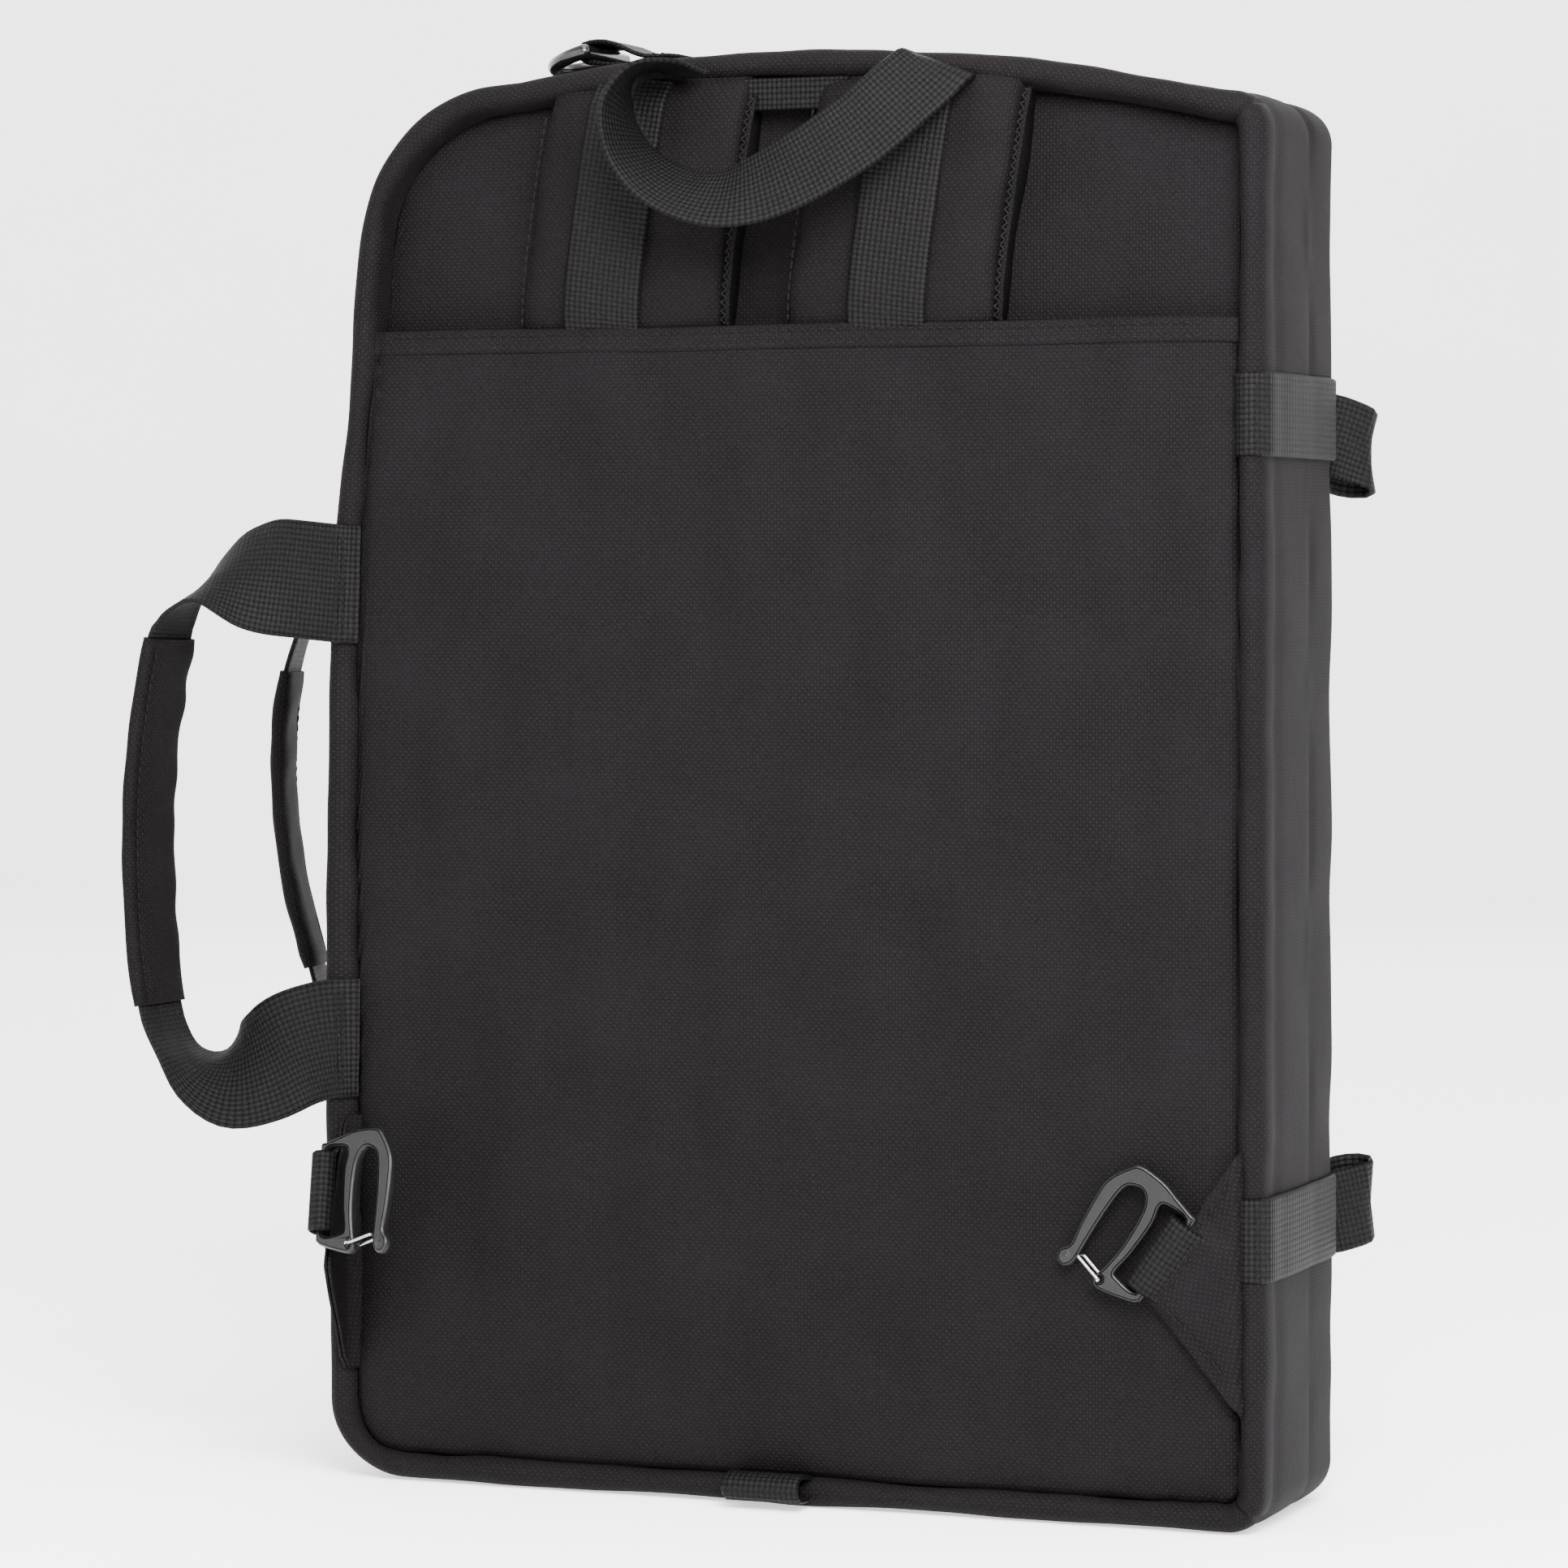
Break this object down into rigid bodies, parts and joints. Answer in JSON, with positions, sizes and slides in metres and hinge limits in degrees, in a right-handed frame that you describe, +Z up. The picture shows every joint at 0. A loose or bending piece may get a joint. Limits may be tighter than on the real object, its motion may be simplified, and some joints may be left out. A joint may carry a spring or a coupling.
{
  "type": "portfolio case",
  "caption": "Soft portfolio case with a book-style zipped cover, side carrying handles, stowed padded backpack straps, a grab loop, webbing hooks and a strap ring.",
  "frame": {"origin": "middle of the base, on the surface that the case stands on", "axes": "+X to the right seen from the worn side (away from the handles), +Y from the worn side to the front cover, +Z up with the case standing on its short base"},
  "size_m": [0.375, 0.1365, 0.4473],
  "materials": {
    "shell_cloth": "Oxford weave, matt",
    "gusset_cloth": "Oxford weave over thin foam, matt",
    "webbing": "ribbed polyester webbing",
    "lining": "plain grey lining cloth",
    "foam": "closed-cell foam",
    "board": "stiffening board",
    "zip_tape": "woven zip tape",
    "zip_coil": "nylon coil",
    "hook_plastic": "fine spark texture with smooth edges",
    "ring_plastic": "smooth and glossy",
    "gate_wire": "bright drawn wire",
    "slider_metal": "black enamel"
  },
  "bodies": {
    "case": {"back_panel": "shell_cloth", "back_foam": "foam", "back_board": "board", "back_lining": "lining", "gusset_lining": "lining", "zip_gusset_back": "gusset_cloth", "base_gusset": "gusset_cloth", "back_edge_roll": "gusset_cloth", "stow_pocket_panel": "shell_cloth", "stow_pocket_hem": "shell_cloth", "strap_pad_left": "shell_cloth", "strap_pad_right": "shell_cloth", "strap_webbing_left": "webbing", "strap_webbing_right": "webbing", "strap_anchor_band": "webbing", "strap_adjusters": "hook_plastic", "strap_tails": "webbing", "top_ring_tab": "webbing", "side_bands": "webbing", "bottom_pull_tab": "webbing", "back_handle_anchors": "webbing", "zipper_tape_back": "zip_tape", "zipper_coil_back": "zip_coil", "sleeve_panel": "lining", "sleeve_strap": "webbing"},
    "front_cover": {"front_panel": "shell_cloth", "front_foam": "foam", "front_lining": "lining", "zip_gusset_front": "gusset_cloth", "front_edge_roll": "gusset_cloth", "zipper_tape_front": "zip_tape", "zipper_coil_front": "zip_coil", "front_pocket": "shell_cloth", "pocket_zip_tapes": "zip_tape", "pocket_zip_coil": "zip_coil", "document_pocket": "lining", "front_handle_anchors": "webbing", "front_loops": "webbing"},
    "top_ring": {"top_ring": "ring_plastic"},
    "grab_loop": {"grab_loop": "webbing"},
    "tab_left": {"hook_tab_left": "shell_cloth", "hook_webbing_left": "webbing"},
    "hook_left": {"hook_left": "hook_plastic"},
    "gate_left": {"gate_left": "gate_wire"},
    "tab_right": {"hook_tab_right": "shell_cloth", "hook_webbing_right": "webbing"},
    "hook_right": {"hook_right": "hook_plastic"},
    "gate_right": {"gate_right": "gate_wire"},
    "back_handle": {"back_handle_webbing": "webbing", "back_handle_grip": "shell_cloth"},
    "front_handle": {"front_handle_webbing": "webbing", "front_handle_grip": "shell_cloth"},
    "slider_upper": {"slider_upper": "slider_metal"},
    "puller_upper": {"puller_upper": "slider_metal"},
    "slider_lower": {"slider_lower": "slider_metal"},
    "puller_lower": {"puller_lower": "slider_metal"},
    "pocket_slider": {"pocket_slider": "slider_metal"},
    "pocket_puller": {"pocket_puller": "slider_metal"}
  },
  "joints": [
    {"name": "cover_fold", "type": "hinge", "parent": "case", "child": "front_cover", "pos_m": [0.147, 0.0376, 0], "axis": [0, 0, -1], "range_deg": [0, 95]},
    {"name": "top_ring_swing", "type": "hinge", "parent": "case", "child": "top_ring", "pos_m": [-0.07, -0.012, 0.4435], "axis": [0, 1, 0], "range_deg": [-4, 120]},
    {"name": "grab_loop_swing", "type": "hinge", "parent": "case", "child": "grab_loop", "pos_m": [0, -0.042, 0.431], "axis": [-1, 0, 0], "range_deg": [0, 110]},
    {"name": "tab_left_fold", "type": "hinge", "parent": "case", "child": "tab_left", "pos_m": [-0.1455, -0.0407, 0], "axis": [0, 0, 1], "range_deg": [-45, 30]},
    {"name": "hook_left_turn", "type": "hinge", "parent": "tab_left", "child": "hook_left", "pos_m": [-0.14234, -0.06253, 0.091], "axis": [-0.08, 0.2985, 0.9511], "range_deg": [-80, 10]},
    {"name": "gate_left_turn", "type": "hinge", "parent": "hook_left", "child": "gate_left", "pos_m": [-0.12851, -0.07066, 0.07684], "axis": [-0.2698, -0.925, 0.2676], "range_deg": [0, 30], "stiffness_Nm_per_rad": 0.01},
    {"name": "tab_right_fold", "type": "hinge", "parent": "case", "child": "tab_right", "pos_m": [0.1455, -0.0407, 0], "axis": [0, 0, 1], "range_deg": [0, 100]},
    {"name": "hook_right_turn", "type": "hinge", "parent": "tab_right", "child": "hook_right", "pos_m": [0.1236, -0.0433, 0.0806], "axis": [0.5693, 0, 0.8221], "range_deg": [0, 110]},
    {"name": "gate_right_turn", "type": "hinge", "parent": "hook_right", "child": "gate_right", "pos_m": [0.10323, -0.0433, 0.07402], "axis": [0, 1, 0], "range_deg": [0, 30], "stiffness_Nm_per_rad": 0.01},
    {"name": "back_handle_swing", "type": "hinge", "parent": "case", "child": "back_handle", "pos_m": [-0.153, -0.0399, 0.208], "axis": [0, 0, 1], "range_deg": [-25, 90]},
    {"name": "front_handle_swing", "type": "hinge", "parent": "front_cover", "child": "front_handle", "pos_m": [-0.153, 0.0394, 0.208], "axis": [0, 0, 1], "range_deg": [-90, 8]},
    {"name": "slider_upper_run", "type": "slide", "parent": "case", "child": "slider_upper", "axis": [0, 0, 1], "range_m": [0, 0.045]},
    {"name": "puller_upper_swing", "type": "hinge", "parent": "slider_upper", "child": "puller_upper", "pos_m": [-0.1536, 0.0145, 0.222], "axis": [0, 1, 0], "range_deg": [0, 110]},
    {"name": "slider_lower_run", "type": "slide", "parent": "case", "child": "slider_lower", "axis": [0, 0, -1], "range_m": [0, 0.15]},
    {"name": "puller_lower_swing", "type": "hinge", "parent": "slider_lower", "child": "puller_lower", "pos_m": [-0.1536, 0.0145, 0.208], "axis": [0, 1, 0], "range_deg": [0, 20]},
    {"name": "pocket_slider_run", "type": "slide", "parent": "front_cover", "child": "pocket_slider", "axis": [0, 0, -1], "range_m": [0, 0.25]},
    {"name": "pocket_puller_swing", "type": "hinge", "parent": "pocket_slider", "child": "pocket_puller", "pos_m": [-0.118, 0.053, 0.337], "axis": [1, 0, 0], "range_deg": [0, 140]}
  ]
}
